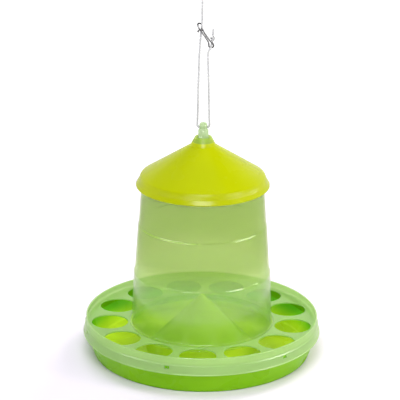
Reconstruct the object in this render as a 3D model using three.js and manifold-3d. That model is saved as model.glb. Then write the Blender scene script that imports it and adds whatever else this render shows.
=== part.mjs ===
// Gravity poultry feeder: a dished pan with a feed cone, a translucent hopper in a ring with
// thirteen head holes, a loose lid, and a cord with a wire tensioner that hangs the whole feeder.
// Units are millimetres. +Z is up, -Y is the front, and the origin is the middle of the pan's base.
import * as THREE from "three";
import { mergeVertices } from "three/addons/utils/BufferGeometryUtils.js";
import Module from "manifold-3d";

const wasm = await Module();
wasm.setup();

// ---------- driving dimensions ----------
const FIT = 0.3;                 // gap between pieces that touch
const TURN_FIT = 0.5;            // gap all round where the hopper turns in its collar

const PAN_SIDES = 60;
const PAN_BASE_R = 164;          // outside, at the floor
const PAN_FLARE_R = 174;         // outside, where the wall turns upright
const PAN_FLARE_Z = 32;
const PAN_RIM_Z = 44.7;
const PAN_WALL = 2.3;
const PAN_FLOOR = 2.5;           // thickness of the flat floor round the cone
const CONE_BASE_R = 82;
const CONE_TOP_Z = 89;
const CONE_FOOT_Z = 4.6;         // where the cone's straight slope starts, near its base
const CONE_TIP = 2.6;            // height of the rounded tip above the straight slope

const RING_SIDES = 65;
const PLATE_TOP_Z = 47.3;        // face with the head holes
const PLATE_THICK = 2.3;
const PLATE_OUT_R = 171.4;       // where the plate's flat face ends under the lip
const SKIRT_LOW_R = 179.6;
const SKIRT_LOW_Z = 32;
const SKIRT_WALL = 2.3;
const SKIRT_TOP_R = 177.4;       // outside, level with the plate
const SKIRT_IN_R = 175.15;       // inside, level with the plate's underside
const LIP_TOP_R = 175.3;
const LIP_TOP_Z = 58;
const LIP_FOOT_R = 174.1;        // inner face of the lip, low down
const COLLAR_LOW_R = 106.7;      // outside, at the plate
const COLLAR_LOW_Z = 47;         // height at which the collar's radii are given
const COLLAR_IN_R = 104.75;      // inside, at the same height
const COLLAR_OUT_TAPER = 0.0428; // the collar narrows by this share of each millimetre of height
const COLLAR_IN_TAPER = 0.0355;
const COLLAR_FOOT_Z = 41;        // lower edge, under the plate
const COLLAR_TOP_Z = 128.3;

const HEAD_HOLES = 13;
const HEAD_HOLE_R = 27.5;
const HEAD_HOLE_CIRCLE_R = 139.7;
const HEAD_HOLE_TURN = -2.1;     // degrees from the front to the first hole

const CATCHES = 6;
const CATCH_TURN = -16.3;        // degrees from the front to the first catch
const CATCH_WIDE = 6.6;
const CATCH_LOW_Z = 39.9;
const CATCH_TOP_Z = 43.9;
const CATCH_OUT_R = 175.75;
const CATCH_SLOPE = 1.6;         // rise of the catch's sloping underside

const TUBE_TOP_R = 90.6;         // outside, at the rim under the lid
const TUBE_TOP_Z = 277;
const TUBE_WALL = 2.1;
const TUBE_STEP_Z = 204.3;       // middle of the moulded step part way up
const TUBE_STEP_HIGH = 2.6;
const TUBE_STEP_LOW_R = 96.5;    // outside, just under the step
const TUBE_STEP_TOP_R = 95.45;   // outside, just over the step
const TUBE_FOOT_R = 107.4;       // flange that carries the ring when the feeder hangs
const TUBE_FOOT_Z = 38.4;
const TUBE_FOOT_THICK = 2.2;
const BEAD_OUT = 1.1;            // how far the bead over the collar stands out
const RIM_LEDGE_R = 85.6;        // inner edge of the rim, which the cross-bar clips round
const RIM_LEDGE_THICK = 1.9;

const LID_LIP_Z = 264.3;
const LID_LIP_R = 99.9;
const LID_EAVE_R = 92.6;         // where the cone turns down into the lip
const LID_EAVE_Z = 279.9;
const LID_BOSS_R = 19.4;         // where the cone meets the boss round the stem
const LID_BOSS_Z = 326.7;
const LID_HOLE_R = 10.75;
const LID_TOP_Z = 339.5;

const BAR_WIDE = 16;             // cross-bar in the hopper's mouth
const BAR_CLIP_R = 87.4;         // tip of the bar under the hopper's rim
const RIB_LONG = 150;            // stiffening rib under the bar
const RIB_WIDE = 2.4;
const RIB_HIGH = 7;
const STEM_FOOT_R = 14;
const STEM_FOOT_Z = 264;
const STEM_R = 9.5;
const STEM_NECK_R = 7.6;         // above the taper
const STEM_HEAD_R = 6.0;         // round the eye
const STEM_TOP_Z = 361.4;
const EYE_Z = 353.6;             // hole that the cord goes through
const EYE_R = 2.2;

const CORD_R = 1.6;
const WIRE_R = 1.1;

// ---------- helpers ----------
function clean(geometry) {
  geometry.deleteAttribute("uv");
  geometry.deleteAttribute("normal");
  const merged = mergeVertices(geometry, 1e-4);
  const p = merged.attributes.position;
  const ix = merged.index.array;
  const keep = [];
  let volume = 0;
  const a = new THREE.Vector3();
  const b = new THREE.Vector3();
  const c = new THREE.Vector3();
  for (let i = 0; i < ix.length; i += 3) {
    if (ix[i] === ix[i + 1] || ix[i + 1] === ix[i + 2] || ix[i] === ix[i + 2]) continue;
    a.fromBufferAttribute(p, ix[i]);
    b.fromBufferAttribute(p, ix[i + 1]);
    c.fromBufferAttribute(p, ix[i + 2]);
    volume += a.dot(b.clone().cross(c));
    keep.push(ix[i], ix[i + 1], ix[i + 2]);
  }
  if (volume < 0) {
    for (let i = 0; i < keep.length; i += 3) {
      [keep[i + 1], keep[i + 2]] = [keep[i + 2], keep[i + 1]];
    }
  }
  merged.setIndex(keep);
  return merged;
}

function solid(geometry) {
  const g = clean(geometry);
  return new wasm.Manifold(new wasm.Mesh({
    numProp: 3,
    vertProperties: new Float32Array(g.attributes.position.array),
    triVerts: new Uint32Array(g.index.array),
  }));
}

function geometryOf(manifold) {
  const m = manifold.getMesh();
  const g = new THREE.BufferGeometry();
  g.setAttribute("position", new THREE.BufferAttribute(new Float32Array(m.vertProperties), 3));
  g.setIndex(new THREE.BufferAttribute(new Uint32Array(m.triVerts), 1));
  return g;
}

// A turned solid from [radius, height] pairs. Points with radius 0 lie on the axis.
function turned(pairs, sides) {
  const points = pairs.map(([r, z]) => new THREE.Vector2(r, z));
  if (pairs[0][0] > 0 || pairs[pairs.length - 1][0] > 0) points.push(points[0].clone());
  const g = new THREE.LatheGeometry(points, sides);
  g.rotateX(Math.PI / 2);
  return g;
}

// An upright round bar, to cut or add.
function upright(radius, z0, z1, sides) {
  return turned([[0, z0], [radius, z0], [radius, z1], [0, z1]], sides);
}

// A round bar that follows hand-placed points.
function cordAlong(points, radius, steps, sides) {
  const path = new THREE.CatmullRomCurve3(points.map((q) => new THREE.Vector3(...q)), false, "centripetal");
  const shape = new THREE.Shape();
  for (let i = 0; i < sides; i += 1) {
    const t = (2 * Math.PI * i) / sides;
    if (i === 0) shape.moveTo(radius * Math.cos(t), radius * Math.sin(t));
    else shape.lineTo(radius * Math.cos(t), radius * Math.sin(t));
  }
  shape.closePath();
  return new THREE.ExtrudeGeometry(shape, { steps, extrudePath: path, bevelEnabled: false });
}

function block(x, y, z, at, turn) {
  const g = new THREE.BoxGeometry(x, y, z);
  g.translate(at[0], at[1], at[2]);
  g.rotateZ(turn);
  return g;
}

// Angle about +Z of a direction measured from the front, positive towards +X.
function fromFront(degrees) {
  return THREE.MathUtils.degToRad(degrees - 90);
}

const root = new THREE.Group();
root.name = "gravity_poultry_feeder";

function place(name, geometry, colour, options = {}) {
  const material = new THREE.MeshStandardMaterial({ color: colour, roughness: 0.5, ...options });
  const mesh = new THREE.Mesh(clean(geometry), material);
  mesh.name = name;
  mesh.geometry.computeVertexNormals();
  root.add(mesh);
  return mesh;
}

// ---------- feed pan with its cone and six catches ----------
const pan = solid(turned([
  [0, CONE_TOP_Z - CONE_TIP - 0.8],
  [3, CONE_TOP_Z - CONE_TIP - 2.0],
  [CONE_BASE_R + 1.2, 0],
  [PAN_BASE_R - 3.2, 0],
  [PAN_BASE_R - 0.6, 0.8],
  [PAN_BASE_R + 0.9, 2.8],
  [PAN_FLARE_R - 0.3, PAN_FLARE_Z - 1],
  [PAN_FLARE_R, PAN_FLARE_Z + 1],
  [PAN_FLARE_R - 0.5, PAN_RIM_Z - 0.4],
  [PAN_FLARE_R - 0.9, PAN_RIM_Z],
  [PAN_FLARE_R - 2.3, PAN_RIM_Z],
  [PAN_FLARE_R - 2.7, PAN_RIM_Z - 0.4],
  [PAN_FLARE_R - PAN_WALL, PAN_FLARE_Z + 1],
  [PAN_BASE_R - 1.2, PAN_FLOOR + 3.7],
  [PAN_BASE_R - 3.0, PAN_FLOOR + 0.9],
  [PAN_BASE_R - 6.0, PAN_FLOOR],
  [CONE_BASE_R + 4, PAN_FLOOR],
  [CONE_BASE_R + 1.4, PAN_FLOOR + 0.7],
  [CONE_BASE_R - 1.0, CONE_FOOT_Z + 1.0],
  [5, CONE_TOP_Z - CONE_TIP],
  [2.4, CONE_TOP_Z - 0.7],
  [0, CONE_TOP_Z],
], PAN_SIDES));

let panWithCatches = pan;
for (let i = 0; i < CATCHES; i += 1) {
  const turn = fromFront(CATCH_TURN + (360 / CATCHES) * i);
  const inner = PAN_FLARE_R - 1.4;
  const wedge = new THREE.Shape();
  wedge.moveTo(inner, CATCH_LOW_Z - CATCH_SLOPE);
  wedge.lineTo(CATCH_OUT_R, CATCH_LOW_Z);
  wedge.lineTo(CATCH_OUT_R, CATCH_TOP_Z - 0.8);
  wedge.lineTo(CATCH_OUT_R - 0.8, CATCH_TOP_Z);
  wedge.lineTo(inner, CATCH_TOP_Z);
  wedge.closePath();
  const lug = new THREE.ExtrudeGeometry(wedge, { depth: CATCH_WIDE, bevelEnabled: false });
  lug.translate(0, 0, -CATCH_WIDE / 2);
  lug.rotateX(Math.PI / 2);
  lug.rotateZ(turn);
  panWithCatches = panWithCatches.add(solid(lug));
}
place("feed_pan", geometryOf(panWithCatches), 0x5fae1c);

// ---------- head-hole ring: skirt, plate, raised lip and collar in one moulding ----------
const plateLowZ = PLATE_TOP_Z - PLATE_THICK;
const collarInner = (z) => COLLAR_IN_R - COLLAR_IN_TAPER * (z - COLLAR_LOW_Z);
const collarOuter = (z) => COLLAR_LOW_R - COLLAR_OUT_TAPER * (z - COLLAR_LOW_Z);
let ring = solid(turned([
  [SKIRT_LOW_R - SKIRT_WALL, SKIRT_LOW_Z],
  [SKIRT_LOW_R + 0.2, SKIRT_LOW_Z],
  [SKIRT_LOW_R + 0.5, SKIRT_LOW_Z + 1.0],
  [SKIRT_LOW_R - 0.2, SKIRT_LOW_Z + 2.2],
  [SKIRT_TOP_R, PLATE_TOP_Z - 1.1],
  [SKIRT_TOP_R - 0.8, PLATE_TOP_Z + 0.3],
  [LIP_TOP_R + 0.2, LIP_TOP_Z - 2.0],
  [LIP_TOP_R + 0.3, LIP_TOP_Z - 0.9],
  [LIP_TOP_R - 0.4, LIP_TOP_Z],
  [LIP_TOP_R - 1.6, LIP_TOP_Z],
  [LIP_TOP_R - 2.2, LIP_TOP_Z - 1.0],
  [LIP_FOOT_R, PLATE_TOP_Z + 3.1],
  [LIP_FOOT_R - 0.9, PLATE_TOP_Z + 0.9],
  [PLATE_OUT_R, PLATE_TOP_Z],
  [COLLAR_LOW_R + 2.4, PLATE_TOP_Z],
  [COLLAR_LOW_R + 0.5, PLATE_TOP_Z + 0.8],
  [collarOuter(PLATE_TOP_Z + 3.7), PLATE_TOP_Z + 3.7],
  [collarOuter(COLLAR_TOP_Z - 0.9), COLLAR_TOP_Z - 0.9],
  [collarOuter(COLLAR_TOP_Z) - 0.4, COLLAR_TOP_Z],
  [collarInner(COLLAR_TOP_Z) + 0.1, COLLAR_TOP_Z],
  [collarInner(COLLAR_TOP_Z - 0.8), COLLAR_TOP_Z - 0.8],
  [collarInner(COLLAR_FOOT_Z), COLLAR_FOOT_Z],
  [collarInner(COLLAR_FOOT_Z) + 2.0, COLLAR_FOOT_Z],
  [collarInner(COLLAR_FOOT_Z) + 2.1, plateLowZ],
  [SKIRT_IN_R, plateLowZ],
], RING_SIDES));

for (let i = 0; i < HEAD_HOLES; i += 1) {
  const turn = fromFront(HEAD_HOLE_TURN + (360 / HEAD_HOLES) * i);
  const cutter = upright(HEAD_HOLE_R, plateLowZ - 3, PLATE_TOP_Z + 4, 26);
  cutter.translate(HEAD_HOLE_CIRCLE_R, 0, 0);
  cutter.rotateZ(turn);
  ring = ring.subtract(solid(cutter));
}

for (let i = 0; i < CATCHES; i += 1) {
  const turn = fromFront(CATCH_TURN + (360 / CATCHES) * i);
  const high = CATCH_TOP_Z - CATCH_LOW_Z + 2 * FIT;
  const middle = (CATCH_TOP_Z + CATCH_LOW_Z) / 2;
  const window = block(10, CATCH_WIDE + 2 * FIT, high, [SKIRT_TOP_R, 0, middle], turn);
  ring = ring.subtract(solid(window));
}
place("head_hole_ring", geometryOf(ring), 0x9fd06a, { transparent: true, opacity: 0.8 });

// ---------- hopper tube ----------
const tubeOuter = (z) => collarInner(z) - TURN_FIT;
const beadZ = COLLAR_TOP_Z + FIT;
const beadR = tubeOuter(beadZ);
const footR = tubeOuter(COLLAR_FOOT_Z);
const stepLowZ = TUBE_STEP_Z - TUBE_STEP_HIGH / 2;
const stepTopZ = TUBE_STEP_Z + TUBE_STEP_HIGH / 2;
place("hopper_tube", turned([
  [footR - TUBE_WALL, TUBE_FOOT_Z],
  [TUBE_FOOT_R, TUBE_FOOT_Z],
  [TUBE_FOOT_R, TUBE_FOOT_Z + TUBE_FOOT_THICK],
  [footR, TUBE_FOOT_Z + TUBE_FOOT_THICK],
  [beadR, beadZ],
  [beadR + BEAD_OUT, beadZ + 0.2],
  [beadR + BEAD_OUT, beadZ + 0.9],
  [beadR, beadZ + 3.0],
  [TUBE_STEP_LOW_R, stepLowZ],
  [TUBE_STEP_TOP_R, stepTopZ],
  [TUBE_TOP_R, TUBE_TOP_Z - 0.5],
  [TUBE_TOP_R - 0.5, TUBE_TOP_Z],
  [RIM_LEDGE_R, TUBE_TOP_Z],
  [RIM_LEDGE_R, TUBE_TOP_Z - RIM_LEDGE_THICK],
  [TUBE_TOP_R - TUBE_WALL + 0.1, TUBE_TOP_Z - RIM_LEDGE_THICK],
  [TUBE_STEP_TOP_R - TUBE_WALL, stepTopZ],
  [TUBE_STEP_LOW_R - TUBE_WALL, stepLowZ],
  [beadR - TUBE_WALL, beadZ],
], PAN_SIDES), 0xb9d98a, { transparent: true, opacity: 0.6 });

// ---------- cross-bar with the hanging stem ----------
// Heights in the outline are measured from the hopper's rim.
const side = new THREE.Shape();
const half = [
  [0, -12], [60, -10.8], [BAR_CLIP_R, -6.4], [BAR_CLIP_R, -RIM_LEDGE_THICK - FIT],
  [RIM_LEDGE_R - 0.8, -RIM_LEDGE_THICK - FIT], [RIM_LEDGE_R - 0.8, FIT], [BAR_CLIP_R - 0.2, FIT],
  [BAR_CLIP_R - 1.2, 1.7], [81.6, 1.7], [79.6, -4.4], [60, -7], [0, -7],
];
half.forEach(([x, z], i) => (i === 0 ? side.moveTo(x, z) : side.lineTo(x, z)));
half.slice(1, -1).reverse().forEach(([x, z]) => side.lineTo(-x, z));
side.closePath();
const bar = new THREE.ExtrudeGeometry(side, { depth: BAR_WIDE, bevelEnabled: false });
bar.translate(0, TUBE_TOP_Z, -BAR_WIDE / 2);
bar.rotateX(Math.PI / 2);

const stem = solid(turned([
  [0, STEM_FOOT_Z],
  [STEM_FOOT_R, STEM_FOOT_Z],
  [STEM_FOOT_R + 0.4, STEM_FOOT_Z + 7.4],
  [STEM_R + 2.1, STEM_FOOT_Z + 10.4],
  [STEM_R + 0.3, STEM_FOOT_Z + 16],
  [STEM_R, EYE_Z - 21.6],
  [STEM_R - 1.3, EYE_Z - 15],
  [STEM_NECK_R, EYE_Z - 11.6],
  [STEM_NECK_R, EYE_Z - 5.2],
  [STEM_NECK_R - 0.7, EYE_Z - 3.4],
  [STEM_HEAD_R + 0.1, EYE_Z - 2.4],
  [STEM_HEAD_R, EYE_Z + 3.0],
  [STEM_HEAD_R - 0.7, EYE_Z + 5.6],
  [STEM_HEAD_R - 2.6, STEM_TOP_Z - 0.6],
  [0, STEM_TOP_Z],
], 28));
const eye = upright(EYE_R, -2 * STEM_HEAD_R, 2 * STEM_HEAD_R, 20);
eye.rotateY(Math.PI / 2);
eye.translate(0, 0, EYE_Z);
const rib = block(RIB_LONG, RIB_WIDE, RIB_HIGH, [0, 0, TUBE_TOP_Z - 2 * RIB_HIGH], 0);
const hanger = stem.add(solid(bar)).add(solid(rib)).subtract(solid(eye));
place("hanger_bar", geometryOf(hanger), 0xc4dfa6, { transparent: true, opacity: 0.8 });

// ---------- lid ----------
place("lid", turned([
  [LID_LIP_R - 1.9, LID_LIP_Z],
  [LID_LIP_R - 0.5, LID_LIP_Z],
  [LID_LIP_R, LID_LIP_Z + 0.9],
  [LID_LIP_R - 3.3, LID_LIP_Z + 6.7],
  [LID_EAVE_R + 2.3, LID_EAVE_Z - 4.9],
  [LID_EAVE_R + 1.7, LID_EAVE_Z - 2.1],
  [LID_EAVE_R, LID_EAVE_Z],
  [LID_EAVE_R - 4.0, LID_EAVE_Z + 2.6],
  [LID_BOSS_R, LID_BOSS_Z],
  [LID_BOSS_R - 1.8, LID_BOSS_Z + 1.9],
  [LID_HOLE_R + 1.85, LID_TOP_Z - 0.6],
  [LID_HOLE_R + 1.25, LID_TOP_Z],
  [LID_HOLE_R + 0.45, LID_TOP_Z],
  [LID_HOLE_R, LID_TOP_Z - 0.5],
  [LID_HOLE_R, LID_TOP_Z - 5.9],
  [LID_BOSS_R - 4.2, LID_BOSS_Z - 0.5],
  [LID_EAVE_R - 5.2, LID_EAVE_Z + 0.7],
  [LID_EAVE_R - 3.2, TUBE_TOP_Z + FIT],
  [LID_EAVE_R - 0.4, TUBE_TOP_Z + FIT],
  [LID_EAVE_R + 0.3, LID_EAVE_Z - 5.5],
  [LID_LIP_R - 5.1, LID_LIP_Z + 6.1],
], PAN_SIDES), 0xc6d000, { transparent: true, opacity: 0.8 });

// ---------- cord: up from the eye, through the tensioner, to a tied loop ----------
// Each route is a list of [x, y, z] points on the middle of the cord or wire.
place("cord_left_strand", cordAlong([
  [-0.15, 0, EYE_Z], [-4.5, 0, EYE_Z], [-7.3, 0, EYE_Z + 0.8], [-8.9, 0, EYE_Z + 3.2],
  [-9.0, 0, EYE_Z + 7], [-8.8, 0, 366], [-8.5, 0, 376], [-8.0, 0, 410], [-7.4, 0, 440],
  [-6.9, 0.1, 460], [-6.2, 0.2, 475], [-5.5, 0.2, 486], [-5.0, 0.2, 495], [-4.0, 0.2, 501],
  [-3.3, 0.2, 506.6],
], CORD_R, 44, 8), 0xf2f2ee);

place("cord_right_strand", cordAlong([
  [0.15, 0, EYE_Z], [4.5, 0, EYE_Z], [7.3, 0, EYE_Z + 0.8], [8.9, 0, EYE_Z + 3.2],
  [9.0, 0, EYE_Z + 7], [8.8, 0, 366], [8.5, 0, 376], [7.7, 0, 405], [6.8, 0, 435],
  [6.2, -0.3, 456], [6.0, -1.2, 465], [7.0, -2.6, 471], [9.2, -3.0, 474.9], [10.6, -0.8, 478.4],
  [11.1, 1.3, 481.8], [11.7, 1.5, 484.6],
], CORD_R, 46, 8), 0xf2f2ee);

place("cord_end_knot", turned([
  [0, 485.0], [2.3, 485.3], [3.7, 486.9], [3.9, 488.6], [3.4, 490.4], [2.1, 491.7], [0, 492.0],
], 12).translate(12.5, 1.4, 0), 0xf2f2ee);

place("cord_tail", cordAlong([
  [12.8, 1.4, 492.3], [13.1, 1.4, 496], [13.4, 1.1, 500], [13.3, 1.0, 503.2],
], CORD_R, 4, 8), 0xf2f2ee);

place("cord_tensioner", cordAlong([
  [-3.2, 3.3, 509.6], [-6.0, 3.1, 510.6], [-8.6, 1.4, 511.0], [-9.5, -0.8, 509.4],
  [-8.4, -2.6, 506.2], [-6.3, -3.0, 502.7], [-2.9, -3.0, 496.8], [1.5, -3.0, 490.3],
  [5.6, -2.9, 484.2], [6.9, -2.2, 480.6], [7.1, -0.6, 477.2], [9.2, 1.8, 474.9],
  [12.2, 1.8, 475.2], [13.9, -0.2, 478.2], [13.1, -2.0, 481.6], [10.7, -2.9, 484.2],
  [8.9, -3.0, 487.0], [6.2, -3.0, 491.0], [1.7, -3.0, 497.6], [-1.0, -3.2, 501.8],
  [-2.6, -4.2, 503.8], [-5.2, -5.4, 503.8], [-7.8, -5.2, 502.2], [-9.2, -3.2, 500.4],
  [-8.4, -0.8, 499.0],
], WIRE_R, 78, 8), 0x8a8d90, { metalness: 0.9 });

place("cord_upper", cordAlong([
  [-3.27, 0.2, 506.9], [-3.05, 0.15, 513], [-2.95, 0, 528], [-2.9, 0, 543], [-2.8, 0, 560.6],
], CORD_R, 8, 8), 0xf2f2ee);

place("cord_top_knot", turned([
  [0, 560.9], [2.3, 561.2], [3.8, 563.0], [3.9, 565.6], [3.3, 568.4], [2.6, 569.6], [0, 569.8],
], 12).translate(-2.8, 0, 0), 0xf2f2ee);

place("cord_top_loop", cordAlong([
  [-4.6, 0, 570.1], [-5.6, 0, 573], [-8.6, 0, 579], [-9.8, 0, 586], [-8.2, 0, 593],
  [-2.8, 0, 597.2], [2.6, 0, 593], [4.2, 0, 586], [3.0, 0, 579], [0.0, 0, 573], [-1.0, 0, 570.1],
], CORD_R, 24, 8), 0xf2f2ee);

export default root;
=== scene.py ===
import math

import bmesh
import bpy
import numpy as np
from mathutils import Matrix, Vector


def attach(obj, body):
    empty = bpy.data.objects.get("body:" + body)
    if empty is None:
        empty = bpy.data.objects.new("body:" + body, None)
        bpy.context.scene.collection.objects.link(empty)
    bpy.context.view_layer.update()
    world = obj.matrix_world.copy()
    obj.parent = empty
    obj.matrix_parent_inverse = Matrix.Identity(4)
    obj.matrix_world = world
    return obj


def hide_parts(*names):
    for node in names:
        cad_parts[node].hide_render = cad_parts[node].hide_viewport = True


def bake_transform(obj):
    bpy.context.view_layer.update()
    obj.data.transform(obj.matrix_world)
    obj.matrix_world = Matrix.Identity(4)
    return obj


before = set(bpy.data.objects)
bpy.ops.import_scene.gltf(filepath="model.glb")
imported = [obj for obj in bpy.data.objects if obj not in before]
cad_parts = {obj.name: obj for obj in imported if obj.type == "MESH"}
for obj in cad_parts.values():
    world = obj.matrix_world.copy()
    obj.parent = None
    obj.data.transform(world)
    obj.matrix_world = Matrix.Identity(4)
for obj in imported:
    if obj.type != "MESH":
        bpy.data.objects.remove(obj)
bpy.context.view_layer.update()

MM = 0.001
SIDES = 240                     # round the turned pieces
CORNER_STEPS = 4                # round each small corner of a profile
LONGEST_CORNER = 0.47           # of each side that meets at the corner
WELD = 1e-6                     # metres: vertices nearer than this are joined
ON_AXIS = 1e-6                  # millimetres: a smaller radius is a single vertex
PLATE_TOP = 47.3                # top face of the head-hole plate, in millimetres


# ---------- camera ----------
LOOK_DOWN = math.radians(22.4)  # of the line from the camera to the middle of the plate's top
FAR = 3.2086                    # length of that line
TILT_UP = math.radians(3.25)    # the optical axis passes above that point
PAN_LEFT = math.radians(0.078)
ROLL = math.radians(0.5)        # the object leans a little to the right in the view
LENS = 189.0


def make_camera():
    data = bpy.data.cameras.new("camera")
    data.lens = LENS
    data.sensor_width = 36.0
    data.clip_start = 0.05
    data.clip_end = 60.0
    camera = bpy.data.objects.new("camera", data)
    bpy.context.scene.collection.objects.link(camera)
    height = PLATE_TOP * MM + FAR * math.sin(LOOK_DOWN)
    place = Vector((0, -FAR * math.cos(LOOK_DOWN), height))
    turn = (Matrix.Rotation(PAN_LEFT, 4, "Z")
            @ Matrix.Rotation(math.pi / 2 - LOOK_DOWN + TILT_UP, 4, "X")
            @ Matrix.Rotation(ROLL, 4, "Z"))
    camera.matrix_world = Matrix.Translation(place) @ turn
    bpy.context.scene.camera = camera


make_camera()


# ---------- mesh helpers ----------
def raw_object(name, vertices, faces):
    """A new object with a welded mesh and outward faces, not finished yet."""
    mesh = bpy.data.meshes.new(name)
    mesh.from_pydata([tuple(v) for v in vertices], [], [tuple(f) for f in faces])
    work = bmesh.new()
    work.from_mesh(mesh)
    bmesh.ops.remove_doubles(work, verts=work.verts, dist=WELD)
    bmesh.ops.recalc_face_normals(work, faces=work.faces)
    work.to_mesh(mesh)
    work.free()
    mesh.update()
    piece = bpy.data.objects.new(name, mesh)
    bpy.context.scene.collection.objects.link(piece)
    return piece


def finish_piece(piece, body, material, replaces, weighted=True, sharp=50):
    mesh = piece.data
    mesh.shade_smooth()
    mesh.set_sharp_from_angle(angle=math.radians(sharp))
    if weighted:
        soften = piece.modifiers.new("weighted_normals", "WEIGHTED_NORMAL")
        soften.keep_sharp = True
    mesh.materials.clear()
    mesh.materials.append(material)
    if body is not None:
        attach(piece, body)
    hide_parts(*replaces)


def put(name, vertices, faces, body, slot, material, replaces, weighted=True, sharp=50):
    """A finished piece made from vertices and faces alone."""
    piece = raw_object(name, vertices, faces)
    finish_piece(piece, body, material, replaces, weighted, sharp)
    return piece


def rounded(profile, closed=True, steps=CORNER_STEPS):
    """The profile's (radius, height) points, each corner with a corner radius made an arc."""
    points = []
    count = len(profile)
    for i, corner in enumerate(profile):
        here = np.array(corner[:2], float)
        radius = corner[2] if len(corner) > 2 else 0
        if not radius or (not closed and i in (0, count - 1)):
            points.append(here)
            continue
        before = np.array(profile[i - 1][:2], float) - here
        after = np.array(profile[(i + 1) % count][:2], float) - here
        long_before, long_after = np.linalg.norm(before), np.linalg.norm(after)
        before, after = before / long_before, after / long_after
        half = math.acos(max(-1, min(1, float(before @ after)))) / 2
        reach = min(radius / math.tan(half), LONGEST_CORNER * long_before,
                    LONGEST_CORNER * long_after)
        radius = reach * math.tan(half)
        middle = before + after
        middle = here + middle / np.linalg.norm(middle) * radius / math.sin(half)
        first, last = here + before * reach - middle, here + after * reach - middle
        sweep = math.pi - 2 * half
        for k in range(steps + 1):
            t = k / steps
            arc = math.sin((1 - t) * sweep) * first + math.sin(t * sweep) * last
            points.append(middle + arc / math.sin(sweep))
    return [(float(r), float(z)) for r, z in points]


def lathe_mesh(profile, sides=SIDES, closed=True):
    """Vertices and faces of a turned solid. An open profile starts and ends on the axis."""
    vertices, faces, rows = [], [], []
    for r, z in profile:
        if r < ON_AXIS:
            rows.append([len(vertices)] * sides)
            vertices.append((0, 0, z * MM))
            continue
        rows.append(list(range(len(vertices), len(vertices) + sides)))
        for k in range(sides):
            a = 2 * math.pi * k / sides
            vertices.append((r * MM * math.cos(a), r * MM * math.sin(a), z * MM))
    pairs = list(zip(rows, rows[1:] + rows[:1] if closed else rows[1:]))
    for low, high in pairs:
        for k in range(sides):
            n = (k + 1) % sides
            loop = [low[k], low[n], high[n], high[k]]
            face = [v for i, v in enumerate(loop) if v != loop[i - 1]]
            if len(face) > 2:
                faces.append(face)
    return vertices, faces


def from_front(degrees):
    """The polar angle, in radians, of a direction given in degrees from the front."""
    return math.radians(degrees - 90)


def extruded(outline, half, turn=0.0):
    """A plate of the outline in x and z, from -half to half in y, turned about the axis."""
    n = len(outline)
    c, s = math.cos(turn), math.sin(turn)
    vertices = [((x * c - y * s) * MM, (x * s + y * c) * MM, z * MM)
                for y in (-half, half) for x, z in outline]
    faces = [list(range(n)), list(range(n, 2 * n))]
    faces += [(k, (k + 1) % n, n + (k + 1) % n, n + k) for k in range(n)]
    return vertices, faces


def apply_modifier(piece, step):
    bpy.context.view_layer.update()
    finished = piece.evaluated_get(bpy.context.evaluated_depsgraph_get())
    mesh = bpy.data.meshes.new_from_object(finished)
    piece.modifiers.remove(step)
    old, piece.data = piece.data, mesh
    bpy.data.meshes.remove(old)


def bevelled(piece, width):
    """Rounds the piece's edges, width in millimetres."""
    step = piece.modifiers.new("bevel", "BEVEL")
    step.width = width * MM
    step.segments = 2
    step.limit_method = "ANGLE"
    step.angle_limit = math.radians(30)
    apply_modifier(piece, step)
    return piece


def combine(piece, other, operation):
    """Applies a boolean with another mesh object, which is then removed."""
    step = piece.modifiers.new("combine", "BOOLEAN")
    step.operation = operation
    step.solver = "EXACT"
    step.object = other
    apply_modifier(piece, step)
    bpy.data.objects.remove(other)


# ---------- paths and tubes ----------
CURVE_STEPS = 24                # between two points of a route, before even spacing
FEWEST_STEPS = 4                # along a whole path
SHORTEST = 1e-9                 # a distance between two points that isn't taken as zero
OFF_PATHS = (0.13, 0.91, 0.31)  # a direction that no path starts along
CAP_SHOULDER = 0.3              # of a rounded end's radius, where its last ring but one lies
BRAID_SUNK = 0.7                # of a braid's relief, inside the tube's radius


def smooth_path(points, spacing):
    """Centripetal Catmull-Rom curve through the points, at even steps of about spacing."""
    p = [np.array(q, float) for q in points]
    p = [2 * p[0] - p[1]] + p + [2 * p[-1] - p[-2]]
    fine = []
    for i in range(1, len(p) - 2):
        a, b, c, d = p[i - 1:i + 3]
        ta, tb, tc = (max(np.linalg.norm(q), SHORTEST) ** 0.5 for q in (b - a, c - b, d - c))
        m1 = ((b - a) / ta - (c - a) / (ta + tb) + (c - b) / tb) * tb
        m2 = ((c - b) / tb - (d - b) / (tb + tc) + (d - c) / tc) * tb
        for k in range(CURVE_STEPS):
            t = k / CURVE_STEPS
            fine.append(b * (2 * t**3 - 3 * t**2 + 1) + m1 * (t**3 - 2 * t**2 + t)
                        + c * (-2 * t**3 + 3 * t**2) + m2 * (t**3 - t**2))
    fine.append(p[-2])
    fine = np.array(fine)
    along = np.concatenate([[0], np.cumsum(np.linalg.norm(np.diff(fine, axis=0), axis=1))])
    steps = max(FEWEST_STEPS, round(along[-1] / spacing))
    at = np.linspace(0, along[-1], steps + 1)
    return np.stack([np.interp(at, along, fine[:, k]) for k in range(3)], axis=1)


def frames_along(path):
    """Tangents and two cross directions at each point, turned as little as possible."""
    tangents = np.gradient(path, axis=0)
    tangents /= np.linalg.norm(tangents, axis=1)[:, None]
    first = np.cross(tangents[0], OFF_PATHS)
    across = [first / np.linalg.norm(first)]
    for t in tangents[1:]:
        nxt = across[-1] - t * (across[-1] @ t)
        across.append(nxt / np.linalg.norm(nxt))
    across = np.array(across)
    return tangents, across, np.cross(tangents, across)


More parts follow.
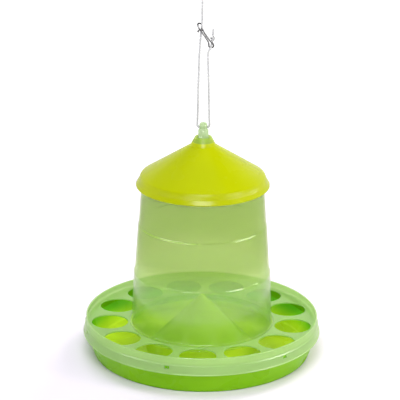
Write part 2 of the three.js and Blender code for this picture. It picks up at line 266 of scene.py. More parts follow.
def tube_mesh(path, radius, sides, relief=None, ends=(0.35, 0.35)):
    """A tube with closed, rounded ends. relief(s, angles) is added to the radius, all in metres,
    and ends are the two roundings as shares of the radius."""
    tangents, u, v = frames_along(path)
    along = np.concatenate([[0], np.cumsum(np.linalg.norm(np.diff(path, axis=0), axis=1))])
    angles = np.linspace(0, 2 * math.pi, sides, endpoint=False)
    vertices, faces, starts = [], [], []

    def ring(i, inwards=0.0, shift=0.0):
        """Adds the ring at point i, smaller by inwards and moved along the path by shift."""
        centre = path[i] + tangents[i] * shift
        r = np.full(sides, radius)
        if relief is not None:
            r = r + relief(along[i], angles)
        starts.append(len(vertices))
        for a, rr in zip(angles, r - inwards):
            vertices.append(centre + (u[i] * math.cos(a) + v[i] * math.sin(a)) * rr)

    last = len(path) - 1
    cap = ends[0] * radius
    tip = len(vertices)
    vertices.append(path[0])
    ring(0, cap)
    ring(0, cap * CAP_SHOULDER, cap * CAP_SHOULDER)
    for i in range(1, last):
        ring(i)
    cap = ends[1] * radius
    ring(last, cap * CAP_SHOULDER, -cap * CAP_SHOULDER)
    ring(last, cap)
    far_tip = len(vertices)
    vertices.append(path[last])
    for k in range(sides):
        n = (k + 1) % sides
        faces.append((tip, starts[0] + n, starts[0] + k))
        faces.append((far_tip, starts[-1] + k, starts[-1] + n))
        for low, high in zip(starts, starts[1:]):
            faces.append((low + k, low + n, high + n, high + k))
    return vertices, faces


def braid(pitch, strands, depth):
    """Relief of a braided cord: two families of strands that wind opposite ways."""
    def relief(s, angles):
        one = np.sin(strands * angles + 2 * math.pi * s / pitch)
        two = np.sin(strands * angles - 2 * math.pi * s / pitch)
        return depth * (np.maximum(one, two) - BRAID_SUNK)
    return relief


# ---------- material helpers ----------
NOISE_LOW, NOISE_HIGH = 0.3, 0.7    # most of a noise's values lie between these
PLASTIC_IOR = 1.49
GLANCE_POWER = 4.0              # how late the gloss grows as the view gets glancing


class Nodes:
    """Short calls that add nodes to one material. Heights, radii and places are in metres, and
    scales are per metre."""

    def __init__(self, name):
        self.material = bpy.data.materials.new(name)
        self.material.use_nodes = True
        self.tree = self.material.node_tree
        self.tree.nodes.clear()
        self.place = self.add("ShaderNodeTexCoord").outputs["Object"]

    def add(self, kind, **values):
        node = self.tree.nodes.new(kind)
        for key, value in values.items():
            if hasattr(node, key):
                setattr(node, key, value)
        return node

    def link(self, source, target):
        self.tree.links.new(source, target)

    def feed(self, socket, value):
        """Links the socket to another node's output, or sets it to a colour or a number."""
        if hasattr(value, "links"):
            self.link(value, socket)
        else:
            socket.default_value = (*value, 1) if isinstance(value, tuple) else value

    def noise(self, scale, detail=3.0, rough=0.5, stretch=None):
        where = self.place
        if stretch is not None:
            scaled = self.add("ShaderNodeMapping")
            scaled.inputs["Scale"].default_value = stretch
            self.link(self.place, scaled.inputs["Vector"])
            where = scaled.outputs["Vector"]
        node = self.add("ShaderNodeTexNoise")
        node.inputs["Scale"].default_value = scale
        node.inputs["Detail"].default_value = detail
        node.inputs["Roughness"].default_value = rough
        self.link(where, node.inputs["Vector"])
        return node.outputs["Fac"]

    def range(self, source, low, high, to_low, to_high, smooth=False):
        node = self.add("ShaderNodeMapRange")
        if smooth:
            node.interpolation_type = "SMOOTHSTEP"
        ends = {"From Min": low, "From Max": high, "To Min": to_low, "To Max": to_high}
        for key, value in ends.items():
            node.inputs[key].default_value = value
        self.link(source, node.inputs["Value"])
        return node.outputs["Result"]

    def spread(self, noise, to_low, to_high):
        """The noise stretched so that most of it runs from to_low to to_high."""
        return self.range(noise, NOISE_LOW, NOISE_HIGH, to_low, to_high)

    def cloudy(self, scale, one, two, detail=4.0):
        """A colour that wanders between the two."""
        return self.mix_colour(self.spread(self.noise(scale, detail), 0, 1), one, two)

    def calc(self, operation, *values):
        node = self.add("ShaderNodeMath", operation=operation)
        for socket, value in zip(node.inputs, values):
            self.feed(socket, value)
        return node.outputs["Value"]

    def height(self):
        node = self.add("ShaderNodeSeparateXYZ")
        self.link(self.place, node.inputs["Vector"])
        return node.outputs["Z"]

    def radius(self):
        flat = self.add("ShaderNodeVectorMath", operation="MULTIPLY")
        flat.inputs[1].default_value = (1, 1, 0)
        self.link(self.place, flat.inputs[0])
        node = self.add("ShaderNodeVectorMath", operation="LENGTH")
        self.link(flat.outputs["Vector"], node.inputs[0])
        return node.outputs["Value"]

    def mix_colour(self, share, one, two):
        node = self.add("ShaderNodeMix", data_type="RGBA")
        wanted = {"Factor": ("VALUE", share), "A": ("RGBA", one), "B": ("RGBA", two)}
        for socket in node.inputs:
            kind, value = wanted.get(socket.name, (None, None))
            if socket.type == kind:
                self.feed(socket, value)
        return next(s for s in node.outputs if s.type == "RGBA")

    def bump(self, heights, strength, distance):
        node = self.add("ShaderNodeBump")
        node.inputs["Strength"].default_value = strength
        node.inputs["Distance"].default_value = distance
        self.link(heights, node.inputs["Height"])
        return node.outputs["Normal"]

    def principled(self, colour, roughness, normal=None, **sockets):
        node = self.add("ShaderNodeBsdfPrincipled")
        for key, value in sockets.items():
            node.inputs[key.replace("_", " ")].default_value = value
        self.feed(node.inputs["Base Color"], colour)
        self.feed(node.inputs["Roughness"], roughness)
        if normal is not None:
            self.link(normal, node.inputs["Normal"])
        return node.outputs["BSDF"]

    def simple(self, kind, colour):
        node = self.add(kind)
        self.feed(node.inputs["Color"], colour)
        return node.outputs["BSDF"]

    def mix(self, share, one, two):
        node = self.add("ShaderNodeMixShader")
        for socket, value in zip(node.inputs, (share, one, two)):
            self.feed(socket, value)
        return node.outputs["Shader"]

    def done(self, shader):
        out = self.add("ShaderNodeOutputMaterial")
        self.link(shader, out.inputs["Surface"])
        return self.material


def milky_plastic(n, colour, through, share, glow=0.5, rough=(0.08, 0.15), shine=(0.035, 0.5)):
    """Translucent moulded plastic. share is how much of a surface is milky; the rest lets the
    view through, tinted. glow is how much of the milky part is lit from behind. A glossy skin
    lies over both: shine is how much of it shows straight on and at a glancing view."""
    flow = n.noise(14.0, stretch=(1.0, 1.0, 0.25))
    normal = n.bump(n.noise(120.0, detail=2.0), strength=0.04, distance=0.0003)
    skin = n.principled(colour, 0.6, Specular_IOR_Level=0.0)
    back = n.simple("ShaderNodeBsdfTranslucent", colour)
    clear = n.simple("ShaderNodeBsdfTransparent", through)
    body = n.mix(share, clear, n.mix(glow, skin, back))
    glance = n.add("ShaderNodeLayerWeight")
    glance.inputs["Blend"].default_value = 0.5
    steep = n.calc("POWER", glance.outputs["Facing"], GLANCE_POWER)
    gloss = n.add("ShaderNodeBsdfAnisotropic")
    n.link(n.spread(flow, *rough), gloss.inputs["Roughness"])
    n.link(normal, gloss.inputs["Normal"])
    return n.done(n.mix(n.range(steep, 0, 1, *shine), body, gloss.outputs["BSDF"]))


def dyed_plastic(n, colour, rough_noise, rough, normal, shine, glow=0.3):
    """Glossy plastic that lets a little light through from behind."""
    skin = n.principled(colour, n.spread(n.noise(rough_noise), *rough), normal,
                        IOR=PLASTIC_IOR, Specular_IOR_Level=shine)
    return n.mix(glow, skin, n.simple("ShaderNodeBsdfTranslucent", colour))


def pan_plastic():
    """Painted light: faces that look up into the light are given a lighter colour than the outside
    of the wall, and the inside of the wall is painted darker again than the floor and the cone, as
    painted shade."""
    n = Nodes("pan_plastic")
    cloud = n.spread(n.noise(11.0, detail=4.0), 0, 1)
    outside = n.mix_colour(cloud, (0.225, 0.53, 0.004), (0.265, 0.57, 0.008))
    # Painted light: the lighter colour stands in for the light that falls on faces looking up.
    inside = n.mix_colour(cloud, (0.62, 0.86, 0.030), (0.70, 0.91, 0.045))
    # Painted shade: the inner side of the wall, off the floor and the cone, gets a darker, greener
    # colour.
    above_floor = n.range(n.height(), 0.006, 0.030, 0, 1, smooth=True)
    off_cone = n.range(n.radius(), 0.120, 0.150, 0, 1)
    wall = n.calc("MULTIPLY", above_floor, off_cone)
    inside = n.mix_colour(wall, inside, (0.24, 0.68, 0.03))
    # Painted light: each face gets the lighter colour by how far its normal points up.
    facing = n.add("ShaderNodeSeparateXYZ")
    n.link(n.add("ShaderNodeNewGeometry").outputs["Normal"], facing.inputs["Vector"])
    painted_light_up_facing = n.range(facing.outputs["Z"], -0.03, 0.10, 0, 1)
    colour = n.mix_colour(painted_light_up_facing, outside, inside)
    normal = n.bump(n.noise(200.0, detail=2.0), strength=0.05, distance=0.0003)
    return n.done(dyed_plastic(n, colour, 20.0, (0.22, 0.34), normal, shine=0.18))


def cord_material():
    n = Nodes("cord_fibre")
    fibre = n.noise(2600.0, rough=0.6)
    stain = n.range(n.noise(60.0), 0.35, 0.7, 0, 1)
    colour = n.mix_colour(stain, (0.46, 0.465, 0.475), (0.38, 0.385, 0.395))
    normal = n.bump(fibre, strength=0.5, distance=0.0002)
    return n.done(n.principled(colour, n.spread(fibre, 0.6, 0.85), normal, Sheen_Weight=0.3))


def wire_material():
    n = Nodes("tensioner_wire")
    drawn = n.noise(900.0, detail=4.0, rough=0.6)
    colour = n.cloudy(90.0, (0.08, 0.08, 0.083), (0.13, 0.13, 0.134), detail=3.0)
    normal = n.bump(drawn, strength=0.25, distance=0.0001)
    return n.done(n.principled(colour, n.spread(drawn, 0.26, 0.46), normal, Metallic=1.0))


# ---------- cord, knots and tensioner ----------
CORD_R = 1.6 * MM
CORE_R = CORD_R * 0.97          # the braid's crests stand proud of it, to just under CORD_R
CORD_SPACING = 0.45 * MM
CORD_SIDES = 24
BRAID_STRANDS = 4
PATH_EVERY = 6                  # points of a cord's mesh to one of its declared path
WIRE_R = 1.1 * MM
WIRE_SPACING = 0.4 * MM
KNOT_STEPS = 240
KNOT_DEPTH = 0.62               # of the knot's width
EYE_Z = 353.6                   # middle of the stem's eye, in millimetres
FIBRE = cord_material()

# Centre lines of the cord's runs and of the wire, in millimetres. The wire's two long runs lie
# about 1 mm nearer to each other than in the frame's solid.
LEFT_ROUTE = [
    (-0.15, 0, EYE_Z), (-4.5, 0, EYE_Z), (-7.3, 0, EYE_Z + 0.8), (-8.9, 0, EYE_Z + 3.2),
    (-9.0, 0, EYE_Z + 7), (-8.8, 0, 366), (-8.5, 0, 376), (-8.0, 0, 410), (-7.4, 0, 440),
    (-6.9, 0.1, 460), (-6.2, 0.2, 475), (-5.5, 0.2, 486), (-5.0, 0.2, 495), (-4.0, 0.2, 501),
    (-3.3, 0.2, 506.6),
]
RIGHT_ROUTE = [
    (0.15, 0, EYE_Z), (4.5, 0, EYE_Z), (7.3, 0, EYE_Z + 0.8), (8.9, 0, EYE_Z + 3.2),
    (9.0, 0, EYE_Z + 7), (8.8, 0, 366), (8.5, 0, 376), (7.7, 0, 405), (6.8, 0, 435),
    (6.2, -0.3, 456), (6.0, -1.2, 465), (7.0, -2.6, 471), (9.2, -3.0, 474.9),
    (10.6, -0.8, 478.4), (11.1, 1.3, 481.8), (11.7, 1.5, 484.6),
]
TAIL_ROUTE = [(12.8, 1.4, 492.3), (13.1, 1.4, 496), (13.4, 1.1, 500), (13.3, 1.0, 503.2)]
UPPER_ROUTE = [
    (-3.27, 0.2, 506.9), (-3.05, 0.15, 513), (-2.95, 0, 528), (-2.9, 0, 543), (-2.8, 0, 560.6),
]
LOOP_ROUTE = [
    (-4.6, 0, 570.1), (-5.6, 0, 573), (-8.6, 0, 579), (-9.8, 0, 586), (-8.2, 0, 593),
    (-2.8, 0, 597.2), (2.6, 0, 593), (4.2, 0, 586), (3.0, 0, 579), (0.0, 0, 573), (-1.0, 0, 570.1),
]
WIRE_ROUTE = [
    (-3.2, 3.3, 509.6), (-6.0, 3.1, 510.6), (-8.6, 1.4, 511.0), (-9.5, -0.8, 509.4),
    (-8.4, -2.6, 506.2), (-6.3, -3.0, 502.7), (-2.3, -3.0, 497.2), (2.2, -3.0, 490.8),
    (6.0, -2.9, 484.6), (6.9, -2.2, 480.6), (7.1, -0.6, 477.2), (9.2, 1.8, 474.9),
    (12.2, 1.8, 475.2), (13.9, -0.2, 478.2), (13.1, -2.0, 481.6), (10.7, -2.9, 484.2),
    (8.3, -3.0, 486.7), (5.5, -3.0, 490.5), (1.0, -3.0, 497.1), (-1.5, -3.2, 501.4),
    (-2.6, -4.2, 503.8), (-5.2, -5.4, 503.8), (-7.8, -5.2, 502.2), (-9.2, -3.2, 500.4),
    (-8.4, -0.8, 499.0),
]


def metres(route):
    return [tuple(c * MM for c in p) for p in route]


def cord_piece(name, node, route, body=None):
    path = smooth_path(metres(route), CORD_SPACING)
    relief = braid(pitch=5.2 * MM, strands=BRAID_STRANDS, depth=0.11 * MM)
    vertices, faces = tube_mesh(path, CORE_R, CORD_SIDES, relief)
    piece = put(name, vertices, faces, body, "cord_fibre", FIBRE, (node,), weighted=False, sharp=80)
    return piece, [tuple(p) for p in path[::PATH_EVERY]] + [tuple(path[-1])]


def knot_piece(name, node, body, middle, size, high, thick):
    """A tight overhand knot: a trefoil of cord drawn up to the size, all in millimetres."""
    t = np.linspace(0, 2 * math.pi, KNOT_STEPS, endpoint=False)
    x = (np.sin(t) + 2 * np.sin(2 * t)) / 3
    y = (np.cos(t) - 2 * np.cos(2 * t)) / 3
    z = -np.sin(3 * t)
    path = np.stack([x * size, z * size * KNOT_DEPTH, y * high], axis=1) * MM
    path = path + np.array(middle) * MM
    path = np.concatenate([path, path[:2]])
    relief = braid(pitch=4.6 * MM, strands=BRAID_STRANDS, depth=0.08 * MM)
    vertices, faces = tube_mesh(path, thick * MM, CORD_SIDES, relief, ends=(0.0, 0.0))
    return put(name, vertices, faces, body, "cord_fibre", FIBRE, (node,), weighted=False, sharp=80)


def make_cords():
    left, left_path = cord_piece("left_strand", "cord_left_strand", LEFT_ROUTE)
    right, right_path = cord_piece("right_strand", "cord_right_strand", RIGHT_ROUTE)
    tail, _ = cord_piece("cord_tail_end", "cord_tail", TAIL_ROUTE, "tensioner")
    upper, upper_path = cord_piece("upper_cord", "cord_upper", UPPER_ROUTE)
    loop, loop_path = cord_piece("top_loop", "cord_top_loop", LOOP_ROUTE, "loop")
    end_knot = knot_piece("end_knot", "cord_end_knot", "tensioner", (12.5, 1.4, 488.4),
                          size=3.0, high=2.9, thick=1.25)
    top_knot = knot_piece("top_knot", "cord_top_knot", "loop", (-2.8, 0, 565.4),
                          size=3.3, high=3.6, thick=1.4)
    wire_path = smooth_path(metres(WIRE_ROUTE), WIRE_SPACING)
    vertices, faces = tube_mesh(wire_path, WIRE_R, sides=20, ends=(0.25, 0.25))
    put("tensioner", vertices, faces, "tensioner", "tensioner_wire", wire_material(),
        ("cord_tensioner",), weighted=False, sharp=40)
    for strand in (left, right):
        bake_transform(strand)
    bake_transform(upper)


make_cords()


# ---------- feed pan ----------
PAN = [
    (0, 85.6), (3, 84.4), (83.2, 0, 1.5), (163.6, 0, 3.2), (165.2, 4.0, 2.0), (173.9, 32, 4.0),
    (173.3, 44.7, 0.7), (171.5, 44.7, 0.7), (171.6, 33, 4.0), (161.6, 2.5, 4.0), (84.3, 2.5, 3.0),
    (3.6, 87.6, 2.6), (0, 89),
]
# A wedge on the pan's wall that the ring's skirt springs over: outline, half width, and the
# directions of the six, in degrees from the front.
CATCH = [(172.6, 38.3), (175.75, 39.9, 0.4), (175.75, 43.9, 0.9), (172.6, 43.9)]
CATCH_HALF = 3.3
CATCH_TURNS = [-16.3 + 60 * k for k in range(6)]


def make_pan():
    material = pan_plastic()
    pan = raw_object("pan", *lathe_mesh(rounded(PAN, closed=False), closed=False))
    outline = rounded(CATCH, steps=3)
    for turn in CATCH_TURNS:
        catch = raw_object("catch", *extruded(outline, CATCH_HALF, from_front(turn)))
        combine(pan, catch, "UNION")
    finish_piece(pan, "pan", material, ("feed_pan",))


make_pan()


# ---------- head-hole ring ----------
HOLES = 13
HOLE_TURN = -2.1
HOLE_R = 27.5
HOLE_CIRCLE_R = 139.7
PLATE_LOW = 45.0
HOLE_EDGE = 0.75                # radius of the rounded edge of each hole
WINDOW_HALF = math.degrees(3.6 / 177.5)     # 3.6 mm at the skirt, in degrees
WINDOW_LOW, WINDOW_HIGH = 39.6, 44.2
WINDOW_CLEAR = 0.35             # degrees that other divisions keep off a window's edge
SKIRT_MIDDLE_R = 177            # between the skirt's inner and outer face
SECTOR_STEPS = 22               # round one hole's share of the ring
SPOKE_STEPS = 9                 # along a sector's side
FILL_ROWS = (0.55, 0.9)         # rows of the plate's mesh between a sector's border and its hole
EDGE_STEPS = 4                  # round the edge of a hole
SLACK = 1e-6                    # of an angle or a height that should be equal to another
# From the outer end of the plate's top face, over the lip and skirt, to the plate's underside.
RING_OUT = [
    (171.4, PLATE_TOP), (173.4, 48.4, 1.2), (174.05, 50.4, 2.0), (173.1, 58.0, 0.8),
    (175.8, 58.0, 0.9), (175.4, 55.6, 1.5), (176.6, 47.4, 1.0), (177.7, 45.0, 1.0),
    (177.56, WINDOW_HIGH), (178.3, WINDOW_LOW), (179.3, 34.0, 1.0), (180.1, 32.8, 0.7),
    (179.9, 32.0, 0.4), (177.3, 32.0, 0.4), (176.1, WINDOW_LOW), (175.3, WINDOW_HIGH),
    (175.15, PLATE_LOW),
]
# From the plate's underside at the collar, up the collar and down to the plate's top face.
RING_IN = [
    (106.97, PLATE_LOW), (106.96, 41.0, 0.5), (104.96, 41.0, 0.5), (101.87, 128.3, 0.5),
    (103.2, 128.3, 0.6), (106.6, 49.6, 2.4), (109.1, PLATE_TOP),
]


def apart(a, b):
    """Degrees between two directions, up to 180."""
    return abs((a - b + 180) % 360 - 180)


def ring_angles():
    """Degrees from the front: all divisions of the ring's mesh, and those that end a sector."""
    sector = 360 / HOLES
    ends = [HOLE_TURN + sector * (i + 0.5) for i in range(HOLES)]
    edges = [w + side for w in CATCH_TURNS for side in (-WINDOW_HALF, WINDOW_HALF)]
    found = [e % 360 for e in ends + edges]
    for end in ends:
        for k in range(1, SECTOR_STEPS):
            a = (end + sector * k / SECTOR_STEPS) % 360
            if min(apart(a, w) for w in CATCH_TURNS) > WINDOW_HALF + WINDOW_CLEAR:
                found.append(a)
    return sorted(found), sorted(e % 360 for e in ends)


def ring_mesh():
    """The plate, one sector round each hole, between two turned profiles with windows cut in
    the skirt. Both profiles are divided at the same angles, so the parts share their vertices."""
    angles, ends = ring_angles()
    out_profile, in_profile = rounded(RING_OUT, closed=False), rounded(RING_IN, closed=False)
    count = len(angles)
    vertices, faces = [], []

    def vertex(x, y, z):
        vertices.append((x * MM, y * MM, z * MM))
        return len(vertices) - 1

    def turned(profile):
        rows = []
        for a in angles:
            c, s = math.cos(from_front(a)), math.sin(from_front(a))
            rows.append([vertex(r * c, r * s, z) for r, z in profile])
        return rows

    outer, inner = turned(out_profile), turned(in_profile)

    def in_window(k):
        middle = (angles[k] + (angles[(k + 1) % count] - angles[k]) % 360 / 2) % 360
        return any(apart(middle, w) < WINDOW_HALF for w in CATCH_TURNS)

    def row_at(z, outside):
        """The row of the outer profile at the height z, on the skirt's outer or inner face."""
        return next(i for i, (r, h) in enumerate(out_profile)
                    if abs(h - z) < SLACK and (r > SKIRT_MIDDLE_R) == outside)

    out_low, out_high = row_at(WINDOW_LOW, True), row_at(WINDOW_HIGH, True)
    in_low, in_high = row_at(WINDOW_LOW, False), row_at(WINDOW_HIGH, False)
    for k in range(count):
        n = (k + 1) % count
        open_here = in_window(k)
        for rows in (outer, inner):
            for i in range(len(rows[k]) - 1):
                in_skirt = rows is outer and (out_high <= i < out_low or in_low <= i < in_high)
                if not (open_here and in_skirt):
                    faces.append((rows[k][i], rows[n][i], rows[n][i + 1], rows[k][i + 1]))
        if open_here:
            a, b = outer[k], outer[n]
            faces.append((a[out_low], b[out_low], b[in_low], a[in_low]))
            faces.append((a[out_high], b[out_high], b[in_high], a[in_high]))
            for side in (a, b):
                faces.append(side[out_high:out_low + 1] + side[in_low:in_high + 1])
    spokes = {}

    def spoke(end, top):
        """Vertices along a sector's side, from the outer arc inwards, ends left out."""
        if (end, top) not in spokes:
            r0 = out_profile[0][0] if top else out_profile[-1][0]
            r1 = in_profile[-1][0] if top else in_profile[0][0]
            z = PLATE_TOP if top else PLATE_LOW
            c, s = math.cos(from_front(end)), math.sin(from_front(end))
            radii = [r0 + (r1 - r0) * j / SPOKE_STEPS for j in range(1, SPOKE_STEPS)]
            spokes[end, top] = [vertex(r * c, r * s, z) for r in radii]
        return spokes[end, top]

    def band(one, two):
        """Faces between two closed rows of vertices. Returns the second row."""
        for j in range(len(one)):
            m = (j + 1) % len(one)
            faces.append((one[j], one[m], two[m], two[j]))
        return two

    for i, start in enumerate(ends):
        stop = ends[(i + 1) % HOLES]
        width = (stop - start) % 360
        inside = [k for k in range(count) if (angles[k] - start) % 360 <= width + SLACK]
        inside.sort(key=lambda k: (angles[k] - start + SLACK) % 360)
        middle = from_front(start + width / 2)
        centre = np.array([HOLE_CIRCLE_R * math.cos(middle), HOLE_CIRCLE_R * math.sin(middle)])
        directions = None
        rims = []
        for top in (True, False):
            out_end, in_end = (0, -1) if top else (-1, 0)
            border = [outer[k][out_end] for k in inside] + spoke(stop, top)
            border += [inner[k][in_end] for k in reversed(inside)]
            border += reversed(spoke(start, top))
            flat = np.array([vertices[v][:2] for v in border]) / MM
            if directions is None:
                directions = flat - centre
                directions /= np.linalg.norm(directions, axis=1)[:, None]
            z = PLATE_TOP if top else PLATE_LOW
            sign = 1 if top else -1
            rim = centre + directions * (HOLE_R + HOLE_EDGE)
            row = border
            for t in FILL_ROWS:
                row = band(row, [vertex(x, y, z) for x, y in flat * (1 - t) + rim * t])
            for step in range(EDGE_STEPS + 1):
                bend = math.pi / 2 * step / EDGE_STEPS
                r = HOLE_R + HOLE_EDGE * (1 - math.sin(bend))
                h = z - sign * HOLE_EDGE * (1 - math.cos(bend))
                row = band(row, [vertex(x, y, h) for x, y in centre + directions * r])
            rims.append(row)
        band(*rims)
    return vertices, faces


def make_ring():
    """Nearly clear in the collar, milky in the plate and the skirt."""
    n = Nodes("ring_plastic")
    colour = n.cloudy(9.0, (0.47, 0.69, 0.25), (0.52, 0.74, 0.29))
    plate = n.range(n.radius(), 0.106, 0.112, 0, 1, smooth=True)
    through = n.mix_colour(plate, (0.96, 0.99, 0.88), (0.93, 0.98, 0.80))
    share = n.range(plate, 0, 1, 0.08, 0.70)
    material = milky_plastic(n, colour, through, share, rough=(0.16, 0.26))
    put("ring", *ring_mesh(), "ring", "ring_plastic", material, ("head_hole_ring",))


make_ring()


# ---------- hopper tube ----------
TUBE_WALL = 2.1
COLLAR_GAP = 0.5                # between the collar's inner face and the tube
BEAD_FOOT, BEAD_CREST, BEAD_TOP = 128.6, 129.5, 131.6


def beside_collar(z):
    """The tube's outer radius inside the ring's tapered collar."""
    return 104.75 - 0.0355 * (z - 47) - COLLAR_GAP


LOW_R, BEAD_R = beside_collar(41), beside_collar(BEAD_FOOT)
HOPPER = [
    (LOW_R - TUBE_WALL, 38.4, 0.5), (107.4, 38.4, 0.6), (107.4, 40.6, 0.6), (LOW_R, 40.6, 0.6),
    (BEAD_R, BEAD_FOOT, 0.3), (BEAD_R + 1.1, BEAD_FOOT + 0.2, 0.4), (BEAD_R + 1.1, BEAD_CREST, 2.0),
    (BEAD_R, BEAD_TOP, 3.0), (96.5, 203.0, 7.0), (95.45, 205.6, 7.0), (90.6, 277, 0.6),
    (85.6, 277, 0.5), (85.6, 275.1, 0.5), (88.55, 275.1, 0.8), (93.35, 205.6, 7.0),
    (94.4, 203.0, 7.0), (BEAD_R - TUBE_WALL, BEAD_FOOT, 4.0),
]


def make_hopper():
    """Nearly clear inside the ring's collar and milkier above it. A thin milkier band on the step
    is a painted highlight: a pale line all round.
    """
    n = Nodes("hopper_plastic")
    cloud = n.spread(n.noise(9.0, detail=4.0), 0, 1)
    low = n.mix_colour(cloud, (0.54, 0.72, 0.30), (0.59, 0.77, 0.34))
    high = n.mix_colour(cloud, (0.30, 0.48, 0.05), (0.35, 0.53, 0.08))
    height = n.height()
    colour = n.mix_colour(n.range(height, 0.122, 0.165, 0, 1, smooth=True), low, high)
    above = n.range(height, 0.1283, 0.1293, 0, 1)
    more_above = n.range(height, 0.130, 0.165, 0.15, 0.30, smooth=True)
    # Painted highlight: the share is raised in a thin band on the step, so a pale line runs all
    # round the tube.
    painted_line_from = n.range(height, 0.2028, 0.2038, 0, 0.13, smooth=True)
    painted_line_to = n.range(height, 0.2048, 0.2058, 1, 0, smooth=True)
    everywhere = 0.09
    share = n.calc("MULTIPLY_ADD", painted_line_from, painted_line_to, everywhere)
    share = n.calc("MULTIPLY_ADD", above, more_above, share)
    through = n.mix_colour(above, (0.95, 0.99, 0.86), (0.94, 0.97, 0.78))
    material = milky_plastic(n, colour, through, share, shine=(0.035, 0.32))
    put("hopper", *lathe_mesh(rounded(HOPPER)), "hopper", "hopper_plastic", material,
        ("hopper_tube",))


make_hopper()


# ---------- cross-bar with the hanging stem ----------
STEM = [
    (0, 264), (14, 264, 0.8), (14.4, 271.4, 1.5), (9.8, 279, 4.0), (9.5, 332, 6.0), (7.7, 341, 4.0),
    (7.6, 350.0, 0.9), (6.1, 351.0, 0.7), (6.0, 357.4, 2.0), (4.6, 360.6, 1.6), (0, 361.4),
]
# Half of the bar's outline, in x and z, from the middle out and back.
HALF_BAR = [
    (0, 265), (60, 266.2), (87.4, 270.6), (87.4, 274.8), (84.8, 274.8), (84.8, 277.3),
    (87.2, 277.3), (86.2, 278.7), (81.6, 278.7), (79.6, 272.6), (60, 270), (0, 270),
]
BAR = HALF_BAR + [(-x, z) for x, z in reversed(HALF_BAR[1:-1])]
RIB = [(-75, 259.5), (75, 259.5), (75, 268.5), (-75, 268.5)]
# Half of a section through the eye's bore: radius, and distance along the bore from its middle.
BORE = [
    (0, -12), (3.6, -12), (3.4, -7.4), (2.2, -5.2, 1.5), (2.2, 5.2, 1.5), (3.4, 7.4), (3.6, 12),
    (0, 12),
]


def make_hanger():
    n = Nodes("hanger_plastic")
    colour = n.cloudy(16.0, (0.47, 0.62, 0.34), (0.54, 0.68, 0.40))
    material = milky_plastic(n, colour, (0.93, 0.98, 0.85), share=0.72, glow=0.4)
    hanger = raw_object("hanger", *lathe_mesh(rounded(STEM, closed=False), 96, closed=False))
    combine(hanger, bevelled(raw_object("bar", *extruded(BAR, half=8.0)), 0.5), "UNION")
    combine(hanger, bevelled(raw_object("rib", *extruded(RIB, half=1.2)), 0.4), "UNION")
    vertices, faces = lathe_mesh(rounded(BORE, closed=False), 40, closed=False)
    eye = raw_object("eye", [(z, y, EYE_Z * MM + x) for x, y, z in vertices], faces)
    combine(hanger, eye, "DIFFERENCE")
    finish_piece(hanger, "hopper", material, ("hanger_bar",), sharp=38)


make_hanger()


# ---------- lid ----------
LID = [
    (97.8, 264.3, 0.4), (99.8, 264.3, 0.7), (99.9, 265.6, 0.7), (96.4, 271.2, 3.0),
    (94.4, 276.6, 3.0), (92.6, 280.2, 3.5), (19.0, 326.9, 2.0), (12.3, 339.5, 0.6),
    (10.75, 339.5, 0.5), (10.75, 333.6, 1.0), (15.2, 326.2, 2.0), (88.4, 280.2, 1.5),
    (89.6, 277.3, 0.6), (92.0, 277.3, 0.6), (94.6, 270.6, 2.0),
]
BOSS_FADE = 0.3315, 0.3330      # heights between which the lid turns into its milky boss


def make_lid():
    n = Nodes("lid_plastic")
    yellow = n.cloudy(10.0, (0.47, 0.53, 0.0), (0.51, 0.57, 0.0))
    boss = (0.46, 0.62, 0.12)
    height = n.height()
    colour = n.mix_colour(n.range(height, *BOSS_FADE, 0, 1, smooth=True), yellow, boss)
    normal = n.bump(n.noise(300.0, detail=2.0), strength=0.12, distance=0.0004)
    body = dyed_plastic(n, colour, 18.0, (0.20, 0.30), normal, shine=0.16)
    clear = n.simple("ShaderNodeBsdfTransparent", (0.86, 0.93, 0.55))
    share = n.range(height, *BOSS_FADE, 0.94, 0.50, smooth=True)
    material = n.done(n.mix(share, clear, body))
    put("cover", *lathe_mesh(rounded(LID)), "lid", "lid_plastic", material, ("lid",))


make_lid()


# ---------- floor and light ----------
FLOOR_R = 0.85
FLOOR_DROP = 0.0004             # the pan's underside doesn't share the floor's plane
# Directions' heights, from 0 at the horizon to 1 overhead, and the world's brightness at each.
BRIGHT_UP_TO, DARK_FROM = 0.40, 0.66
BRIGHT, DARK = 1.25, 0.06


def make_floor():
    work = bmesh.new()
    bmesh.ops.create_circle(work, cap_ends=True, segments=96, radius=FLOOR_R)
    mesh = bpy.data.meshes.new("floor")
    work.to_mesh(mesh)
    work.free()
    floor = bpy.data.objects.new("floor", mesh)
    bpy.context.scene.collection.objects.link(floor)
    n = Nodes("floor_paper")
    colour = n.mix_colour(n.noise(3.0), (0.785, 0.735, 0.845), (0.805, 0.755, 0.865))
    mesh.materials.append(n.done(n.principled(colour, 0.9)))
    floor.location.z = -FLOOR_DROP


def area_light(name, place, target, size, power, colour=(1, 1, 1), gloss=None):
    """gloss is "none" for a light that no reflection shows, and "only" for one that nothing
    else does."""
    data = bpy.data.lights.new(name, "AREA")
    data.shape = "RECTANGLE"
    data.size, data.size_y = size
    data.energy = power
    data.color = colour
    light = bpy.data.objects.new(name, data)
    bpy.context.scene.collection.objects.link(light)
    light.location = place
    light.rotation_mode = "QUATERNION"
    light.rotation_quaternion = (Vector(target) - Vector(place)).to_track_quat("-Z", "Y")
    light.visible_diffuse = gloss != "only"
    light.visible_glossy = gloss != "none"


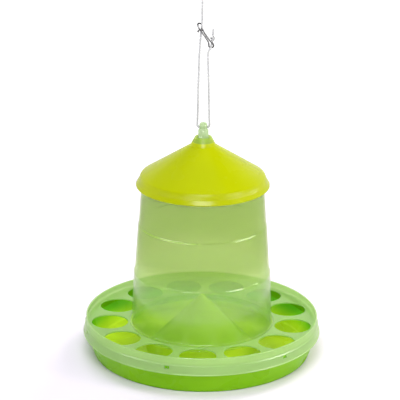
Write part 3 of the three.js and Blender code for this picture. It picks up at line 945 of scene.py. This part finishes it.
def make_world():
    """White all round and below, and dark overhead, where the area lights are."""
    world = bpy.data.worlds.new("world")
    world.use_nodes = True
    tree = world.node_tree
    back = tree.nodes["Background"]
    back.inputs["Strength"].default_value = 1.0
    where = tree.nodes.new("ShaderNodeTexCoord")
    split = tree.nodes.new("ShaderNodeSeparateXYZ")
    fade = tree.nodes.new("ShaderNodeMapRange")
    fade.interpolation_type = "SMOOTHSTEP"
    ends = {"From Min": BRIGHT_UP_TO, "From Max": DARK_FROM, "To Min": BRIGHT, "To Max": DARK}
    for key, value in ends.items():
        fade.inputs[key].default_value = value
    tree.links.new(where.outputs["Generated"], split.inputs["Vector"])
    tree.links.new(split.outputs["Z"], fade.inputs["Value"])
    tree.links.new(fade.outputs["Result"], back.inputs["Color"])
    bpy.context.scene.world = world


make_floor()
make_world()
area_light("key", (1.35, 1.3, 2.1), (0, 0, 0.12), (0.9, 0.9), 32, (1.0, 0.94, 0.86), "none")
area_light("back_left", (-1.3, 1.2, 2.1), (0, 0, 0.12), (0.9, 0.9), 10, gloss="none")
area_light("top", (-0.1, 0.2, 2.4), (0, 0, 0.12), (1.6, 1.6), 26, gloss="none")
area_light("side_right", (2.0, -0.9, 1.1), (0, 0, 0.1), (0.5, 0.5), 19, (1.0, 0.92, 0.80))
area_light("fill", (-0.2, -1.7, 2.1), (0, 0, 0.12), (1.2, 0.6), 27, gloss="none")
# Strips for reflections: the pale lines on the tube's step and bead, and on the lid's lip.
area_light("low_right", (1.70, -0.25, 0.44), (0, 0, 0.2), (1.6, 0.17), 16, gloss="only")
area_light("low_left", (-1.40, -1.15, 0.44), (0, 0, 0.2), (2.0, 0.16), 18, gloss="only")
area_light("bead_right", (1.36, -1.14, 1.03), (0, 0, 0.13), (0.45, 0.16), 6, gloss="only")
area_light("bead_left", (-0.45, -1.70, 1.03), (0, 0, 0.13), (1.0, 0.18), 12, gloss="only")
area_light("lip_front", (0, -1.35, 1.5), (0, 0, 0.27), (0.8, 0.25), 38, gloss="only")
bpy.context.scene.view_settings.view_transform = "Standard"
bpy.context.scene.cycles.transparent_max_bounces = 48
bpy.context.scene.cycles.max_bounces = 16
bpy.context.scene.cycles.diffuse_bounces = 8
bpy.context.scene.cycles.transmission_bounces = 16
